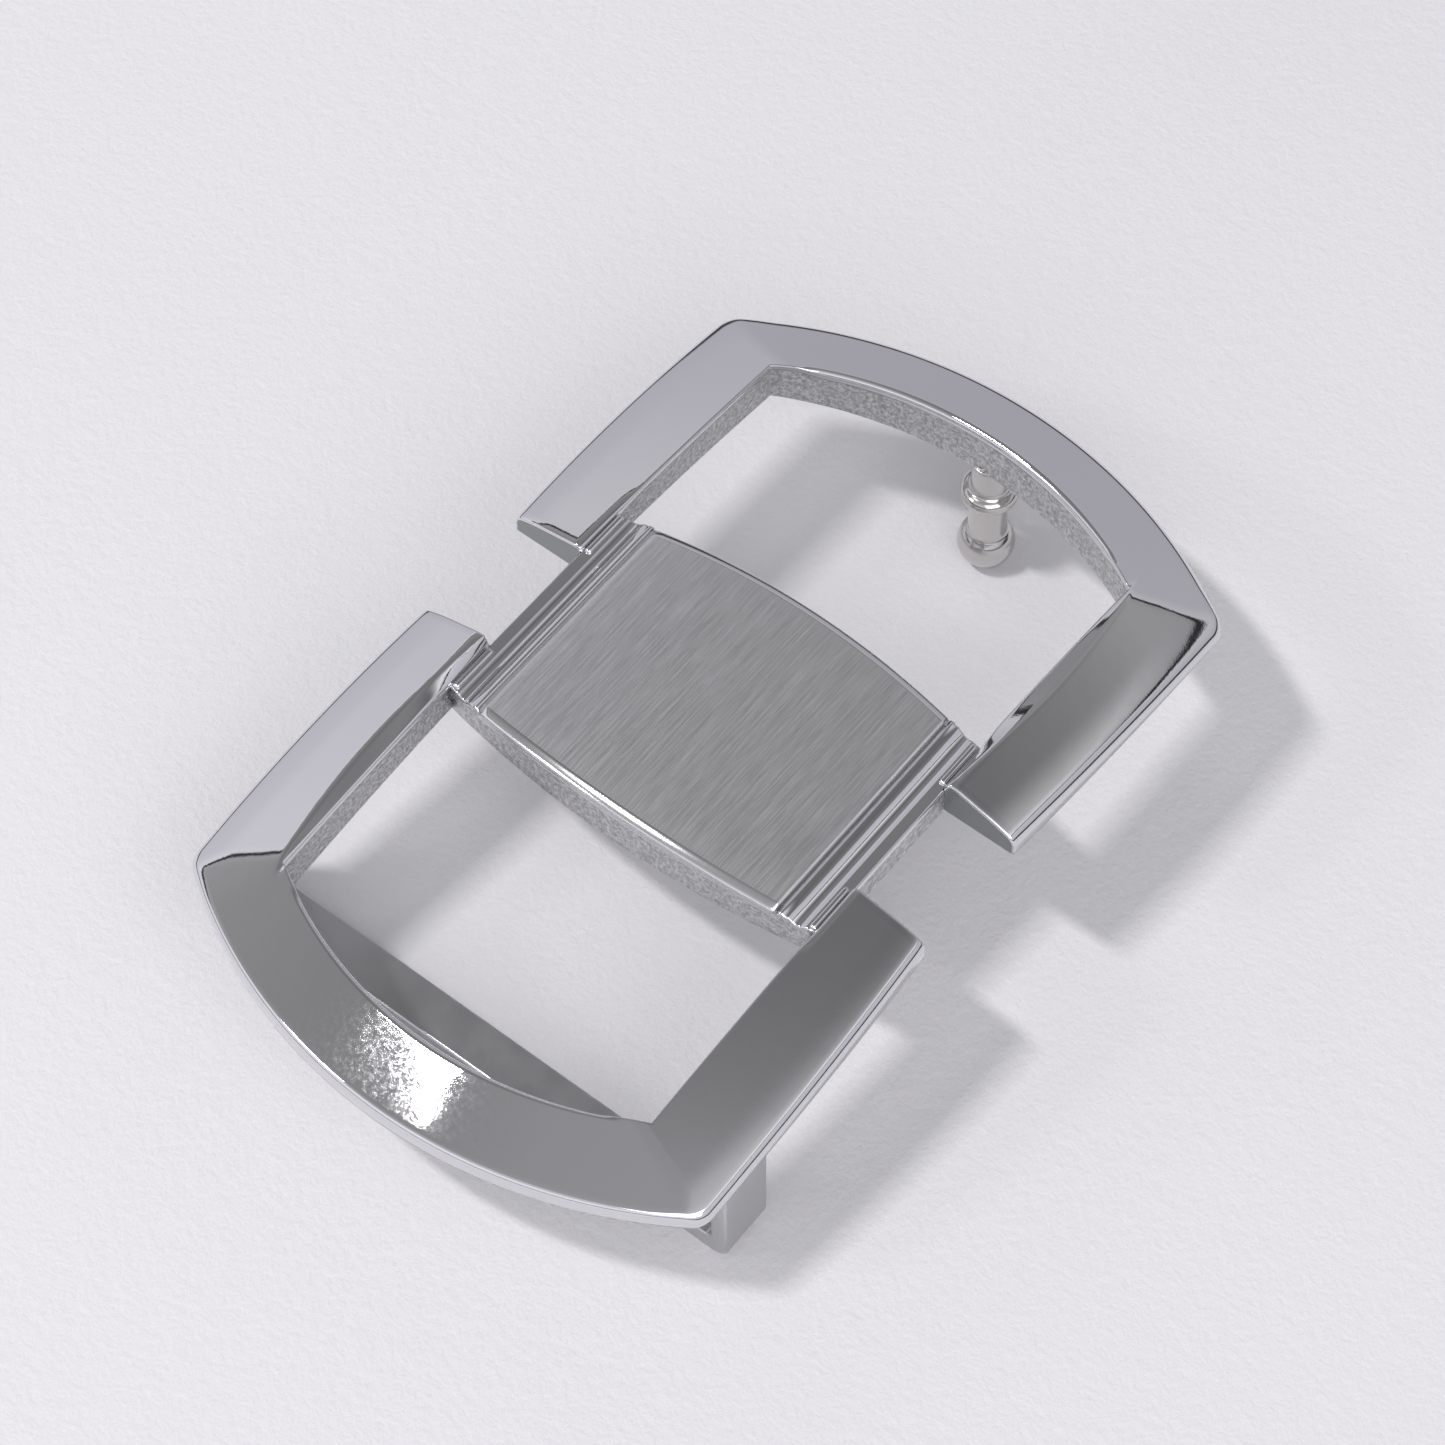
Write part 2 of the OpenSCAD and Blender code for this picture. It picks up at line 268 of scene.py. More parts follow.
def frame_ring(inner, outer, side):
    """The band's section between an inner and an outer edge point, as points and raw marks."""
    bow_edge_r = STUD_BOW_EDGE_R if side > 0 else LOOP_BOW_EDGE_R
    width = np.hypot(*(outer - inner))
    on_arm = np.clip((abs(outer[1]) - (HALF_W - 3)) / 2, 0, 1)
    edge_r = bow_edge_r + (ARM_EDGE_R - bow_edge_r) * on_arm
    quarter = np.linspace(0, math.pi / 2, 8)
    dense_w = 2.2                    # the shoulder and the gutter need points close together

    s_in = INNER_EDGE_R * (1 - np.cos(quarter))
    s_top = np.concatenate([steps(INNER_EDGE_R, dense_w, 16)[1:],
                            np.linspace(dense_w, width - edge_r, 14)])
    s_out = width - edge_r * (1 - np.cos(quarter[::-1]))
    s = np.concatenate([s_in, s_top, s_out[1:]])
    x = inner[0] + (outer[0] - inner[0]) * s / width
    y = inner[1] + (outer[1] - inner[1]) * s / width
    z = frame_face(x, y, side)
    z -= BEVEL_SLOPE * (1 - on_arm) * np.clip(BEVEL_W - s, 0, None)
    near_in = np.clip(INNER_EDGE_R - s, 0, None)
    near_out = np.clip(edge_r - (width - s), 0, None)
    z -= INNER_EDGE_R - np.sqrt(INNER_EDGE_R ** 2 - near_in ** 2)
    z -= edge_r - np.sqrt(np.clip(edge_r ** 2 - near_out ** 2, 0, None))
    points = list(zip(x, y, z))
    marks = [0.0] * len(points)

    def wall(corner, top, bottom, count, mark):
        for t in np.linspace(0, 1, count + 2)[1:-1]:
            points.append((corner[0], corner[1], top + (bottom - top) * t))
            marks.append(mark)

    def lower_edge(s_values):
        for s_low in s_values:
            px, py = inner + (outer - inner) * s_low / width
            near = np.clip(LOWER_EDGE_R - min(s_low, width - s_low), 0, None)
            lift = LOWER_EDGE_R - math.sqrt(LOWER_EDGE_R ** 2 - near ** 2)
            points.append((px, py, under(px, py) + lift))
            marks.append(UNDER_RAW)

    wall(outer, z[-1], under(*outer) + LOWER_EDGE_R, 3, 0.0)
    bend = LOWER_EDGE_R * (1 - np.cos(np.linspace(0, math.pi / 2, 4)))
    lower_edge(width - bend)
    lower_edge(np.linspace(width - 2 * LOWER_EDGE_R, 2 * LOWER_EDGE_R, 8))
    lower_edge(bend[::-1])
    wall(inner, under(*inner) + LOWER_EDGE_R, z[0], 6, 1.0)
    return np.array(points), np.array(marks)


def pulled_in(ring, depth):
    """A section in a Y-Z plane, shrunk by a depth all round."""
    flat = ring[:, 1:]
    along = np.roll(flat, -1, axis=0) - np.roll(flat, 1, axis=0)
    normal = np.stack([along[:, 1], -along[:, 0]], axis=1)
    normal /= np.linalg.norm(normal, axis=1, keepdims=True) + 1e-9
    centre = flat.mean(axis=0)
    if np.sum(normal * (centre - flat)) < 0:
        normal = -normal
    shrunk = ring.copy()
    shrunk[:, 1:] += normal * depth
    return shrunk


def d_frame(name, node, side, material):
    """One D frame; side is 1 for the stud's end and -1 for the loop's end."""
    built = [frame_ring(inner, outer, side) for inner, outer in frame_stations()]
    rings = [ring for ring, _ in built]
    marks = [mark for _, mark in built]

    def rounded_end(ring):
        """Rings that round the edge of an arm's flat end."""
        made = []
        for a in np.linspace(0, math.pi / 2, 5)[:-1]:
            inset = pulled_in(ring, END_EDGE_R * (1 - math.sin(a)))
            inset[:, 0] += END_EDGE_R * (1 - math.cos(a))
            made.append(inset)
        return made

    start, end = rounded_end(rings[0]), rounded_end(rings[-1])[::-1]
    rings[0][:, 0] += END_EDGE_R
    rings[-1][:, 0] += END_EDGE_R
    all_rings = np.array(start + rings + end)
    all_rings[..., 0] *= side
    all_marks = [marks[0]] * len(start) + marks + [marks[-1]] * len(end)
    all_marks[0] = all_marks[-1] = np.full_like(marks[0], HALF_RAW)
    piece = ring_mesh(name, all_rings, material, all_marks, flip=side < 0)
    finish_piece(piece, "polished_steel", node)
    return piece


# ---------------------------------------------------------------- centre plate and panel
def flank_height(y):
    """Height of the plate beside the panel: two thin steps, a hollow cove and a flat ledge."""
    edge_z = crown(PANEL_HALF)
    if y < PANEL_HALF:
        return crown(y) - PANEL_T
    if y < PANEL_HALF + STEP_W:
        return edge_z - STEP_1_DROP
    if y < COVE_Y:
        return edge_z - STEP_2_DROP
    if y < LEDGE_Y:
        t = (y - COVE_Y) / (LEDGE_Y - COVE_Y)
        straight = edge_z - STEP_2_DROP - (LEDGE_DROP - STEP_2_DROP) * t
        return straight - COVE_DEPTH * math.sin(math.pi * t)
    return edge_z - LEDGE_DROP


def plate_ring(y, reach, top, edge_r, all_raw=False):
    """The plate's section along the belt at one y, between the underside and a top height."""
    quarter = np.linspace(0, math.pi / 2, 6)
    x = np.concatenate([-reach + edge_r * (1 - np.cos(quarter)),
                        np.linspace(-reach + edge_r, reach - edge_r, 14)[1:-1],
                        reach - edge_r * (1 - np.cos(quarter[::-1]))])
    near = np.clip(edge_r - (reach - np.abs(x)), 0, None)
    z = top - edge_r + np.sqrt(np.clip(edge_r ** 2 - near ** 2, 0, None))
    points = [(px, y, pz) for px, pz in zip(x, z)]
    marks = [1.0 if all_raw else 0.0] * len(points)
    low = under(reach)
    wall = (0.08, 0.35, 0.7, 1.0)    # shares of the way down a wall
    for t in wall:
        points.append((reach, y, z[-1] + (low - z[-1]) * t))
    for px in np.linspace(reach, -reach, 12)[1:-1]:
        points.append((px, y, under(px)))
    for t in wall[::-1]:
        points.append((-reach, y, z[0] + (low - z[0]) * t))
    marks += [1.0] * (len(points) - len(marks))
    return points, marks


def plate_side_rings():
    """The plate's rounded side between the arm ends, from the joint outwards."""
    ledge_z, round_h, edge_r, past_ledge = flank_height(SLOT_HALF), 0.4, 0.02, 0.001
    built = []
    for a in np.linspace(0, math.pi / 2, 7):
        y = SLOT_HALF + past_ledge + TAB_OUT * math.sin(a)
        top = ledge_z - round_h * (1 - math.cos(a))
        built.append(plate_ring(y, ARM_X, top, edge_r))
    built.append(plate_ring(y, ARM_X, top - 0.05, edge_r, all_raw=True))
    return built


def centre_plate(material):
    """The bowed plate, with a pair of rings close to each step so that it stays crisp."""
    edge_r, step_gap, ledge_gap = 0.18, 0.04, 0.03
    half = list(np.linspace(0, PANEL_HALF, 30)[:-1])
    for y in (PANEL_HALF, PANEL_HALF + STEP_W, COVE_Y):
        half += [y - step_gap, y + step_gap]
    half += list(np.linspace(COVE_Y + 0.1, LEDGE_Y - ledge_gap, 14))
    half += [LEDGE_Y + ledge_gap, SLOT_HALF]
    built = [plate_ring(y, plate_edge(y), flank_height(y), edge_r) for y in half]
    built += plate_side_rings()
    rings = np.array([ring for ring, _ in built])
    marks = np.array([mark for _, mark in built])
    mirrored = rings[:0:-1] * np.array([1, -1, 1])
    piece = ring_mesh("centre_plate_casting", np.concatenate([mirrored, rings]), material,
                      np.concatenate([marks[:0:-1], marks]), flip=True)
    finish_piece(piece, "polished_steel", "centre_plate")
    return piece


def satin_panel(material):
    """The brushed sheet, with a polished bevel along its two bowed edges."""
    bevel_w, bevel_angles = 0.66, (12, 18, 21, 23, 25, 27, 31, 40)  # degrees, outwards
    sag_w, sag = 3.0, 0.09           # the face sags a little towards the bevel
    end_r, lip_w, lip_h = 0.12, 0.03, 0.08  # the straight ends' rounding, and the bevel's lip
    brush_start = 1.2                # the brushed face's first points, from the bowed edge
    polished, brushed = 0.5, 0.0     # raw marks
    step = bevel_w / len(bevel_angles)
    bevel = [(0.0, 0.0)]
    for a in bevel_angles:
        across, down = bevel[-1]
        bevel.append((across + step, down + step * math.tan(math.radians(a))))
    rings, marks = [], []
    for y in np.linspace(-PANEL_HALF, PANEL_HALF, 60):
        reach, top = plate_edge(y), crown(y)
        top -= end_r * max(0, 1 - (PANEL_HALF - abs(y)) / end_r) ** 2
        rim = top - sag * (1 - bevel_w / sag_w) ** 2
        half = [(reach, top - PANEL_T, polished), (reach, rim - bevel[-1][1] - lip_h, polished)]
        half += [(reach - lip_w - bevel_w + across, rim - down, polished)
                 for across, down in bevel[::-1]]
        half.append((reach - bevel_w - 0.1, rim, brushed))
        ring = [(x, y, z) for x, z, _ in half]
        mark = [m for _, _, m in half]
        for x in np.linspace(reach - brush_start, -reach + brush_start, 24):
            ring.append((x, y, top - sag * max(0, 1 - (reach - abs(x)) / sag_w) ** 2))
            mark.append(brushed)
        ring += [(-x, y, z) for x, z, _ in half[::-1]]
        mark += [m for _, _, m in half[::-1]]
        rings.append(ring)
        marks.append(mark)
    piece = ring_mesh("satin_panel_sheet", rings, material, marks)
    finish_piece(piece, "satin_steel", "satin_panel")
    return piece


# ---------------------------------------------------------------- beads, loop and stud
def bead(index, sx, sy, material):
    """A half-round bead that tapers to a round nose at each end."""
    near, far, nose_r = ARM_X + 0.2, PLATE_HALF - 1.5, 0.01
    y0 = SLOT_HALF - 1.1 * BEAD_R
    ledge_z = crown(PANEL_HALF) - LEDGE_DROP
    rings = []
    for t in (1 - np.cos(np.linspace(0.02, math.pi - 0.02, 40))) / 2:
        x = near + (far - near) * t
        end = min(x - near, far - x)
        r = math.sqrt(max(nose_r ** 2, BEAD_R ** 2 - max(0, BEAD_R - end) ** 2))
        rings.append([(sx * x, sy * (y0 + r * math.cos(a)), ledge_z + r * math.sin(a))
                      for a in np.linspace(0, math.pi, 14)])
    piece = ring_mesh(f"joint_bead_{index}", rings, material, flip=sx * sy > 0)
    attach(piece, "root")
    return piece


def loop_stations(inside_r):
    """Half the band as (share of the leg's length, outer point, inner point) in Y and Z."""
    low = LOOP_LOW[2] - FACE_H
    reach = LOOP_HALF - LEG_T
    leg_ends = (LOOP_HALF, low + BEND_R), (reach, low + BAR_T + inside_r)
    stations = [(t ** 1.4, *leg_ends) for t in np.linspace(0, 1, 24)]
    for a in np.linspace(0, math.pi / 2, 12)[1:]:
        outer = (LOOP_HALF - BEND_R * (1 - math.cos(a)), low + BEND_R * (1 - math.sin(a)))
        inner = (reach - inside_r * (1 - math.cos(a)),
                 low + BAR_T + inside_r * (1 - math.sin(a)))
        stations.append((1, outer, inner))
    for y in np.linspace(reach - inside_r, 0, 14)[1:]:
        stations.append((1, (y, low), (y, low + BAR_T)))
    return stations


def belt_loop(material):
    """The U-shaped band: two legs, two bends and the narrower cross bar."""
    inside_r, edge_r = BEND_R / 2, 0.22
    fillet_h, fillet_w = 1.2, 0.96   # where a leg spreads under the bow
    reach = LOOP_HALF - LEG_T
    x0, x1 = LOOP_LOW[0], LOOP_HIGH[0]
    corners = [(x0, 0, 1, 1), (x1, 0, -1, 1), (x1, 1, -1, -1), (x0, 1, 1, -1)]
    rings = []
    for share_down, outer, inner in loop_stations(inside_r):
        outer, inner = np.array(outer), np.array(inner)
        past = min(BAR_IN, max(0.0, inner[0] - (reach - BAR_IN)))
        cut = math.sqrt(BAR_IN ** 2 - past ** 2)
        ring = []
        for index, (x, depth, dx, dn) in enumerate(corners):
            for a in np.linspace(0, math.pi / 2, 5):
                sweep = (math.sin(a), math.cos(a)) if index % 2 else (math.cos(a), math.sin(a))
                px = x + dx * edge_r * (1 - sweep[0]) - (cut if dx < 0 else 0)
                y, z = outer + (inner - outer) * (depth + dn * edge_r * (1 - sweep[1]) / LEG_T)
                top = under(px, y)
                z = top + (z - top) * share_down
                near_top = max(0, 1 - (top - z) / fillet_h)
                px -= dx * fillet_w * (1 - math.sqrt(1 - near_top ** 2))
                ring.append((px, y, z))
        rings.append(ring)
    rings = np.array(rings)
    mirrored = rings[-2::-1] * np.array([1, -1, 1])
    piece = ring_mesh("belt_loop_band", np.concatenate([rings, mirrored]), material)
    finish_piece(piece, "loop_steel", "belt_loop")
    return piece


def stud_profile():
    """Radius and height above the tip of the turned stud, from tip to stem."""
    fillet, soft, collar_r = 0.7, 0.45, BALL_R - NECK_R
    ball_end = math.acos((NECK_R + fillet) / (BALL_R + fillet))
    fillet_z = BALL_R + (BALL_R + fillet) * math.sin(ball_end)
    turn = math.acos(soft / (collar_r + soft))
    drop = (collar_r + soft) * math.sin(turn)
    stem_top = FACE_H + under(STUD_X) + 0.1
    points = [(0.0, 0.0)]            # each stretch starts where the last one ends

    def arc(radius, height, r, start, end, count):
        for a in np.linspace(start, end, count)[1:]:
            points.append((radius + r * math.cos(a), height + r * math.sin(a)))

    def straight(low, high, count):
        for z in np.linspace(low, high, count)[1:]:
            points.append((NECK_R, z))

    arc(0, BALL_R, BALL_R, -math.pi / 2, ball_end, 26)
    arc(NECK_R + fillet, fillet_z, fillet, math.pi + ball_end, math.pi, 8)
    straight(fillet_z, COLLAR_Z - drop, 8)
    arc(NECK_R + soft, COLLAR_Z - drop, soft, math.pi, math.pi - turn, 5)
    arc(NECK_R, COLLAR_Z, collar_r, -turn, turn, 15)
    arc(NECK_R + soft, COLLAR_Z + drop, soft, math.pi + turn, math.pi, 5)
    straight(COLLAR_Z + drop, stem_top, 6)
    return points


def belt_stud(material):
    """The stud's profile, turned round its axis."""
    sides, tip_r = 64, 0.01
    rings = []
    for radius, height in stud_profile():
        radius = max(radius, tip_r)
        rings.append([(STUD_X + radius * math.cos(a), radius * math.sin(a), height - FACE_H)
                      for a in steps(0, 2 * math.pi, sides)])
    piece = ring_mesh("belt_stud_turned", rings, material)
    finish_piece(piece, "turned_steel", "belt_stud")
    return piece


# ---------------------------------------------------------------- materials
RANGE_SOCKETS = ("From Min", "From Max", "To Min", "To Max")


class Nodes:
    """Small helper that adds and links nodes in one material."""

    def __init__(self, name):
        self.material = bpy.data.materials.new(name)
        self.material.use_nodes = True
        self.tree = self.material.node_tree
        self.shader = self.tree.nodes["Principled BSDF"]

    def add(self, kind, **values):
        node = self.tree.nodes.new(kind)
        for key, value in values.items():
            setattr(node, key, value)
        return node

    def link(self, source, target):
        self.tree.links.new(source, target)

    def coordinates(self, scale):
        """Object coordinates, stretched by a scale in each direction."""
        where = self.add("ShaderNodeTexCoord")
        stretch = self.add("ShaderNodeMapping")
        stretch.inputs["Scale"].default_value = scale
        self.link(where.outputs["Object"], stretch.inputs["Vector"])
        return stretch.outputs["Vector"]

    def noise(self, scale, detail=2.0, rough=0.5, vector=None):
        """Noise whose features are about 1 / scale metres apart."""
        node = self.add("ShaderNodeTexNoise")
        node.inputs["Scale"].default_value = scale
        node.inputs["Detail"].default_value = detail
        node.inputs["Roughness"].default_value = rough
        self.link(vector or self.coordinates((1, 1, 1)), node.inputs["Vector"])
        return node.outputs["Fac"]

    def ramp(self, value, low, high, out_low, out_high):
        """A value's range low to high, turned smoothly into out_low to out_high."""
        node = self.add("ShaderNodeMapRange", interpolation_type="SMOOTHSTEP")
        for key, number in zip(RANGE_SOCKETS, (low, high, out_low, out_high)):
            node.inputs[key].default_value = number
        self.link(value, node.inputs["Value"])
        return node.outputs["Result"]

    def calc(self, a, b, operation="ADD"):
        """The sum of two values, or another math node's result."""
        node = self.add("ShaderNodeMath", operation=operation)
        for socket, value in zip(node.inputs, (a, b)):
            if isinstance(value, (int, float)):
                socket.default_value = value
            else:
                self.link(value, socket)
        return node.outputs["Value"]

    def mix(self, factor, a, b):
        """Colour a where the factor is 0 and colour b where it is 1."""
        node = self.add("ShaderNodeMix", data_type="RGBA")
        self.link(factor, node.inputs["Factor"])
        for socket, value in ((node.inputs[6], a), (node.inputs[7], b)):
            if isinstance(value, tuple):
                socket.default_value = (*value, 1)
            else:
                self.link(value, socket)
        return node.outputs[2]

    def bump(self, height, strength, distance, below=None):
        """A normal tilted by a height, on top of the bump below it."""
        node = self.add("ShaderNodeBump")
        node.inputs["Strength"].default_value = strength
        node.inputs["Distance"].default_value = distance
        self.link(height, node.inputs["Height"])
        if below:
            self.link(below, node.inputs["Normal"])
        return node.outputs["Normal"]


def raw_mark(nodes):
    """The mesh's own mark: 1 as cast, 0 finished, and between them as each material says."""
    return nodes.add("ShaderNodeAttribute", attribute_name="raw").outputs["Fac"]


def raw_mask(nodes):
    """1 where the surface is as cast, with an uneven border left by the polishing wheel."""
    mark = raw_mark(nodes)
    uneven = nodes.calc(nodes.noise(1800, 3, 0.6), 0.2, "MULTIPLY")
    return nodes.ramp(nodes.calc(mark, uneven), 0.66, 0.85, 0.0, 1.0)


def dull_mask(nodes):
    """1 on the arms' flat ends, which carry the half raw mark."""
    mark = raw_mark(nodes)
    off_half = nodes.calc(nodes.calc(mark, HALF_RAW, "SUBTRACT"), 0.0, "ABSOLUTE")
    return nodes.ramp(off_half, 0.02, 0.1, 1.0, 0.0)


def polished_steel():
    """Mirror polish with a faint ripple, grainy as-cast walls, and dull arm ends."""
    n = Nodes("polished_steel")
    n.shader.inputs["Metallic"].default_value = 1.0
    mask, dull = raw_mask(n), dull_mask(n)
    haze = n.ramp(n.noise(3000, 4, 0.6), 0.3, 0.7, 0.02, 0.045)
    grain = n.noise(3000, 3, 0.7)
    pits = n.noise(850, 4, 0.65)
    cast_tone = n.mix(n.ramp(grain, 0.35, 0.65, 0.0, 1.0),
                      (0.42, 0.425, 0.425), (0.76, 0.76, 0.76))
    clean_tone = n.mix(dull, (0.74, 0.735, 0.755), (0.32, 0.34, 0.33))
    n.link(n.mix(mask, clean_tone, cast_tone), n.shader.inputs["Base Color"])
    cast_rough = n.ramp(pits, 0.3, 0.7, 0.22, 0.4)
    clean_rough = n.calc(haze, n.calc(dull, 0.28, "MULTIPLY"))
    rough = n.calc(n.calc(clean_rough, n.calc(1.0, mask, "SUBTRACT"), "MULTIPLY"),
                  n.calc(cast_rough, mask, "MULTIPLY"))
    n.link(rough, n.shader.inputs["Roughness"])
    ripple = n.bump(n.noise(170, 3, 0.5), 0.045, 0.0004)
    scratch = n.bump(n.noise(7000, 2, 0.6), 0.04, 0.00003, ripple)
    rough_skin = n.calc(n.calc(grain, n.calc(pits, 1.4, "MULTIPLY")), mask, "MULTIPLY")
    n.link(n.bump(rough_skin, 0.5, 0.00035, scratch), n.shader.inputs["Normal"])
    return n.material


def satin_steel():
    """Fine brush lines along the belt; a mark over 0.4 is polished bright instead."""
    n = Nodes("satin_steel")
    n.shader.inputs["Metallic"].default_value = 1.0
    bright = n.ramp(raw_mark(n), 0.2, 0.4, 0.0, 1.0)
    brushed = n.noise(1, 4, 0.7, n.coordinates((300, 9000, 0)))
    streaks = n.noise(1, 3, 0.6, n.coordinates((100, 6500, 0)))
    both = n.calc(n.calc(brushed, 0.65, "MULTIPLY"), n.calc(streaks, 0.35, "MULTIPLY"))
    tone = n.mix(n.ramp(both, 0.35, 0.65, 0.0, 1.0), (0.69, 0.69, 0.705), (0.82, 0.82, 0.835))
    n.link(n.mix(bright, tone, (0.74, 0.735, 0.75)), n.shader.inputs["Base Color"])
    n.link(n.calc(n.ramp(both, 0.3, 0.7, 0.30, 0.40), n.ramp(bright, 0, 1, 1.0, 0.3), "MULTIPLY"),
           n.shader.inputs["Roughness"])
    n.link(n.bump(n.calc(both, n.calc(1.0, bright, "SUBTRACT"), "MULTIPLY"), 0.25, 0.00003),
           n.shader.inputs["Normal"])
    return n.material


def loop_steel():
    """A duller, evenly blasted metal."""
    n = Nodes("loop_steel")
    n.shader.inputs["Metallic"].default_value = 1.0
    cloud = n.noise(350, 4, 0.6)
    n.link(n.mix(cloud, (0.55, 0.55, 0.56), (0.60, 0.60, 0.61)), n.shader.inputs["Base Color"])
    n.link(n.ramp(cloud, 0.3, 0.7, 0.28, 0.33), n.shader.inputs["Roughness"])
    n.link(n.bump(n.noise(5000, 3, 0.6), 0.12, 0.00003), n.shader.inputs["Normal"])
    return n.material


def turned_steel():
    """Warmer metal with fine turning lines round the stud."""
    n = Nodes("turned_steel")
    n.shader.inputs["Metallic"].default_value = 1.0
    grooves = n.noise(1, 3, 0.6, n.coordinates((0, 0, 7000)))
    n.link(n.mix(grooves, (0.54, 0.525, 0.51), (0.66, 0.645, 0.63)), n.shader.inputs["Base Color"])
    n.link(n.ramp(grooves, 0.3, 0.7, 0.08, 0.15), n.shader.inputs["Roughness"])
    n.link(n.bump(grooves, 0.2, 0.00005), n.shader.inputs["Normal"])
    return n.material


def table_paper():
    """Pale, slightly pebbled paper."""
    n = Nodes("table_paper")
    n.shader.inputs["Roughness"].default_value = 0.7
    n.shader.inputs["Specular IOR Level"].default_value = 0.3
    cloud = n.noise(9, 4, 0.6)
    n.link(n.mix(cloud, (0.71, 0.70, 0.725), (0.77, 0.763, 0.778)), n.shader.inputs["Base Color"])
    fine = n.calc(n.noise(1700, 4, 0.6), n.calc(n.noise(650, 3, 0.6), 0.9, "MULTIPLY"))
    n.link(n.bump(fine, 0.24, 0.0004), n.shader.inputs["Normal"])
    return n.material


# ---------------------------------------------------------------- studio
def table():
    """A plain table that touches the loop's bar and the stud's tip."""
    size, gap = 3.0, 0.00005         # metres
    mesh = bpy.data.meshes.new("table_top")
    corners = [(-size, -size, 0), (size, -size, 0), (size, size, 0), (-size, size, 0)]
    mesh.from_pydata(corners, [], [(0, 1, 2, 3)])
    mesh.materials.append(table_paper())
    top = bpy.data.objects.new("table_top", mesh)
    bpy.context.collection.objects.link(top)
    top.rotation_euler = (0, LEAN, 0)
    top.location = (STUD_X * MM, 0, -gap)


def direction(azimuth, elevation):
    """A unit vector; azimuth is counted from +X towards +Y."""
    a, e = math.radians(azimuth), math.radians(elevation)
    return Vector((math.cos(a) * math.cos(e), math.sin(a) * math.cos(e), math.sin(e)))


def soft_light(name, azimuth, elevation, distance, width, height, turn, power):
    """A rectangular light that faces the buckle, in degrees, metres and watts."""
    data = bpy.data.lights.new(name, "AREA")
    data.shape = "RECTANGLE"
    data.size, data.size_y = width, height
    data.energy = power
    data.color = (1.0, 0.99, 1.0)
    lamp = bpy.data.objects.new(name, data)
    bpy.context.collection.objects.link(lamp)
    towards = direction(azimuth, elevation)
    lamp.location = towards * distance
    lamp.rotation_mode = "QUATERNION"
    lamp.rotation_quaternion = (towards.to_track_quat("Z", "Y")
                                @ Quaternion((0, 0, 1), math.radians(turn)))
    return lamp


# The room's colour by height: the sine of the elevation, from the horizon to overhead.
ROOM = [(0.0, (0.08, 0.08, 0.085)), (0.12, (0.08, 0.08, 0.085)),    # dark, low down
        (0.17, (0.62, 0.615, 0.67)), (0.45, (0.67, 0.665, 0.72)),   # pale walls
        (0.6, (0.755, 0.75, 0.795)),
        (0.606, (0.04, 0.04, 0.045)), (0.63, (0.04, 0.04, 0.045)),  # a thin dark gap
        (0.637, (0.40, 0.40, 0.41)), (0.72, (0.34, 0.34, 0.345)),   # the ceiling
        (0.86, (0.22, 0.22, 0.225)), (1.0, (0.18, 0.18, 0.185))]
# The ceiling's brightness from the -Y side, at 0, to the +Y side, at 1.
CEILING = [(0.0, 1.0), (0.275, 0.87), (0.4, 0.585), (0.55, 0.48), (0.67, 0.35), (0.88, 0.25),
           (1.0, 0.22)]


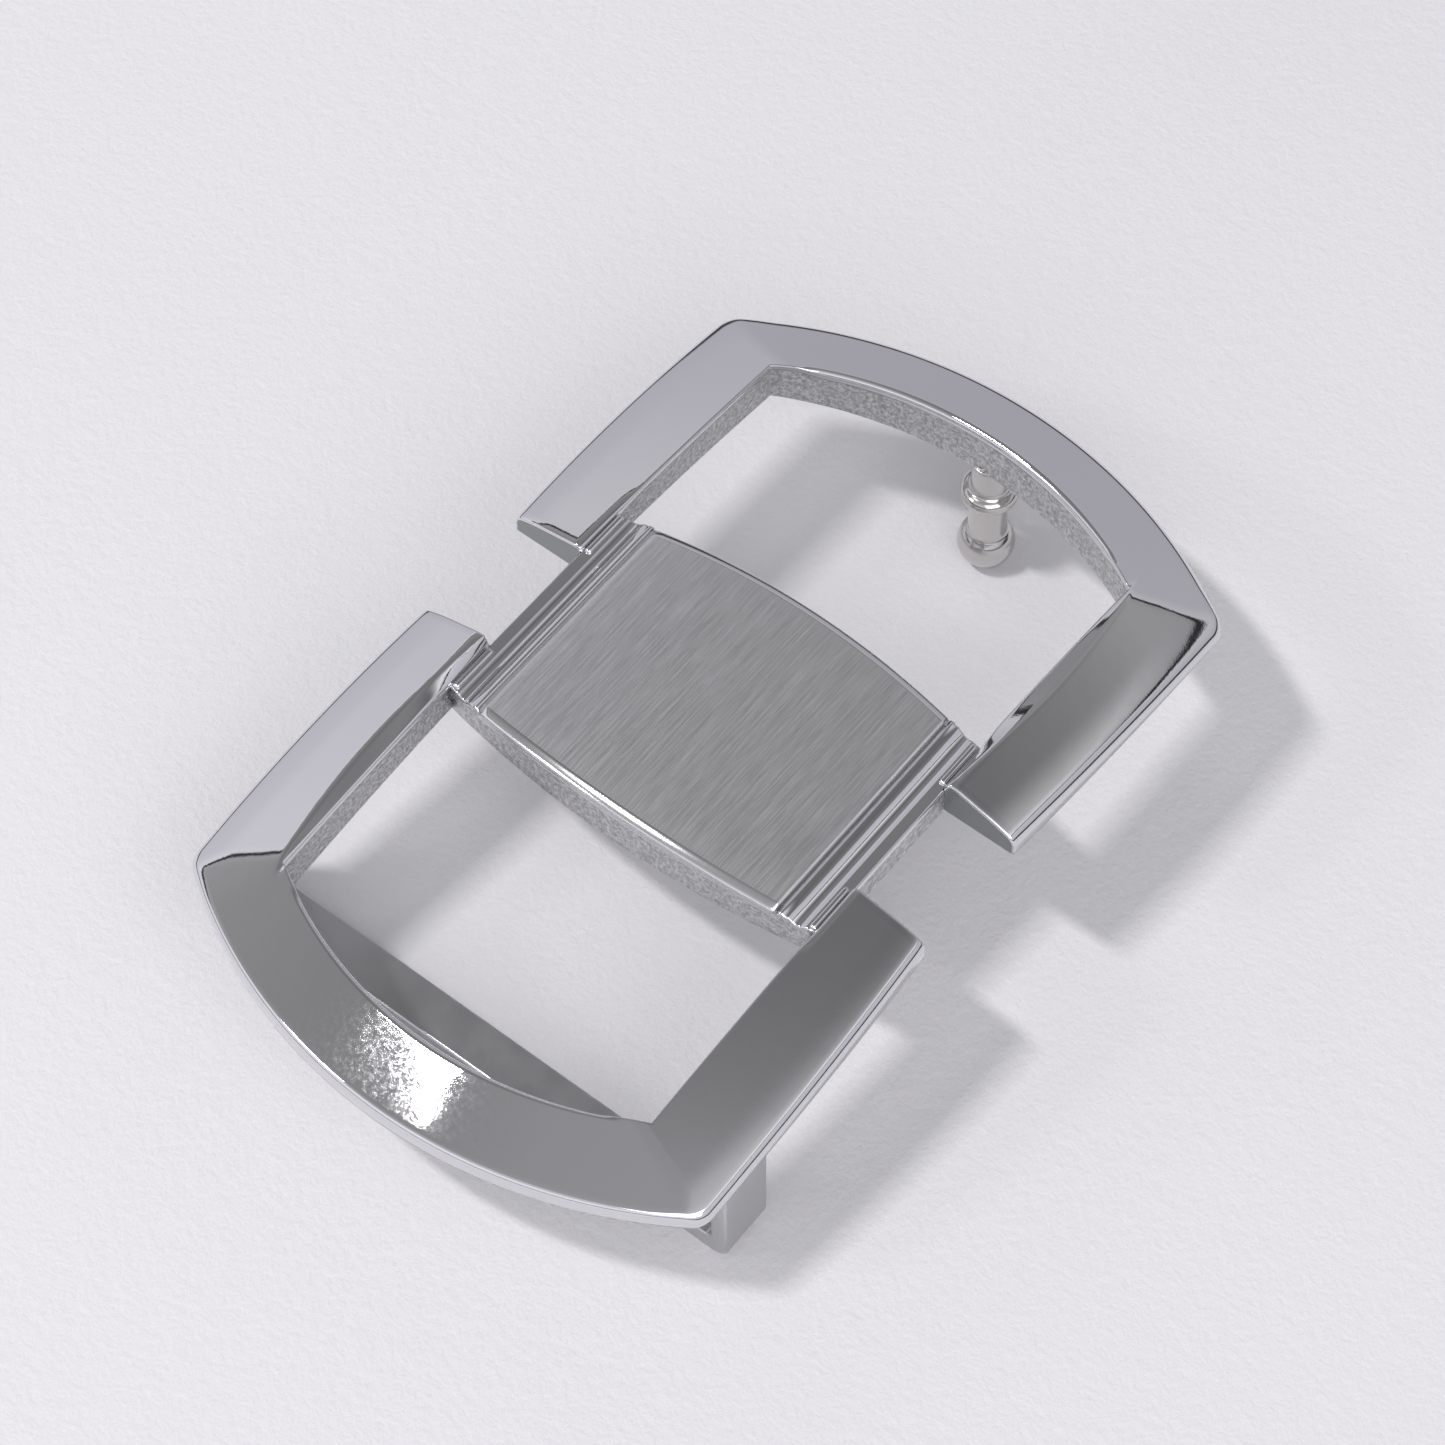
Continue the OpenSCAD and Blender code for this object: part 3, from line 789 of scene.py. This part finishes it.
def studio_world():
    """Pale walls under a darker ceiling, brighter on the -X side and, overhead, on the -Y side.

    A soft flag hangs over the +X end and halves the light behind it.
    """
    world = bpy.data.worlds.new("studio")
    bpy.context.scene.world = world
    world.use_nodes = True
    nodes, links = world.node_tree.nodes, world.node_tree.links

    def mapped(value, low, high, out_low, out_high):
        node = nodes.new("ShaderNodeMapRange")
        for key, number in zip(RANGE_SOCKETS, (low, high, out_low, out_high)):
            node.inputs[key].default_value = number
        links.new(value, node.inputs["Value"])
        return node.outputs["Result"]

    def product(a, b):
        node = nodes.new("ShaderNodeMath")
        node.operation = "MULTIPLY"
        links.new(a, node.inputs[0])
        links.new(b, node.inputs[1])
        return node.outputs["Value"]

    where = nodes.new("ShaderNodeTexCoord")
    split = nodes.new("ShaderNodeSeparateXYZ")
    ramp = nodes.new("ShaderNodeValToRGB")
    links.new(where.outputs["Generated"], split.inputs["Vector"])
    along, across, height = (split.outputs[axis] for axis in "XYZ")
    links.new(height, ramp.inputs["Fac"])
    links.new(ramp.outputs["Color"], nodes["Background"].inputs["Color"])
    overhead = mapped(height, 0.63, 0.70, 0.0, 1.0)
    from_minus_y = nodes.new("ShaderNodeFloatCurve")
    links.new(mapped(across, -1.0, 1.0, 0.0, 1.0), from_minus_y.inputs["Value"])
    curve = from_minus_y.mapping.curves[0]
    curve.points[0].location, curve.points[1].location = CEILING[0], CEILING[-1]
    for position, level in CEILING[1:-1]:
        curve.points.new(position, level)
    from_minus_y.mapping.update()
    tilt = product(overhead, mapped(from_minus_y.outputs["Value"], 0.0, 1.0, -1.0, 2.0))
    towards_flag = nodes.new("ShaderNodeVectorMath")
    towards_flag.operation = "DOT_PRODUCT"
    towards_flag.inputs[1].default_value = direction(-23.5, 60)
    links.new(where.outputs["Generated"], towards_flag.inputs[0])
    flag = mapped(towards_flag.outputs["Value"], 0.92, 1.0, 1.0, 0.5)
    shading = product(mapped(tilt, -1.0, 2.0, 0.0, 3.0), flag)
    links.new(product(mapped(along, -1.0, 1.0, 1.48, 0.69), shading),
              nodes["Background"].inputs["Strength"])
    elements = ramp.color_ramp.elements
    while len(elements) < len(ROOM):
        elements.new(0.5)
    for element, (position, colour) in zip(elements, ROOM):
        element.position = position
        element.color = (*colour, 1)


def camera():
    """The camera looks down on the buckle from behind its loop end."""
    data = bpy.data.cameras.new("camera")
    data.sensor_width = 36.0
    data.lens = 111.8
    data.clip_start, data.clip_end = 0.01, 20
    eye = bpy.data.objects.new("camera", data)
    bpy.context.collection.objects.link(eye)
    azimuth, elevation, roll = math.radians(-50.94), math.radians(57.41), math.radians(-0.88)
    back = Vector((math.sin(azimuth) * math.cos(elevation),
                   -math.cos(azimuth) * math.cos(elevation), math.sin(elevation)))
    eye.location = Vector((-129.9, -106.16, 262.45 + FACE_H)) * MM
    eye.rotation_mode = "QUATERNION"
    eye.rotation_quaternion = back.to_track_quat("Z", "Y") @ Quaternion((0, 0, 1), roll)
    bpy.context.scene.camera = eye


def build():
    """Every piece of the buckle."""
    steel = polished_steel()
    d_frame("stud_end_frame_polished", "stud_end_frame", 1, steel)
    d_frame("loop_end_frame_polished", "loop_end_frame", -1, steel)
    centre_plate(steel)
    satin_panel(satin_steel())
    corners = [(1, 1), (1, -1), (-1, 1), (-1, -1)]
    beads = [bead(i + 1, sx, sy, steel) for i, (sx, sy) in enumerate(corners)]
    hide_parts("joint_beads")
    belt_loop(loop_steel())
    belt_stud(turned_steel())


def light():
    """The room, a small key light, a weak one below it and a large fill."""
    studio_world()
    soft_light("key_softbox", 133, 62.15, 1.1, 0.183, 0.061, 34.8, 5.1)
    soft_light("low_softbox", 140, 40, 0.9, 0.14, 0.10, 0, 0.6)
    soft_light("fill_softbox", 235, 42, 1.2, 1.0, 0.7, 0, 4.5)
    scene = bpy.context.scene
    scene.view_settings.view_transform = "Standard"


build()
table()
light()
camera()
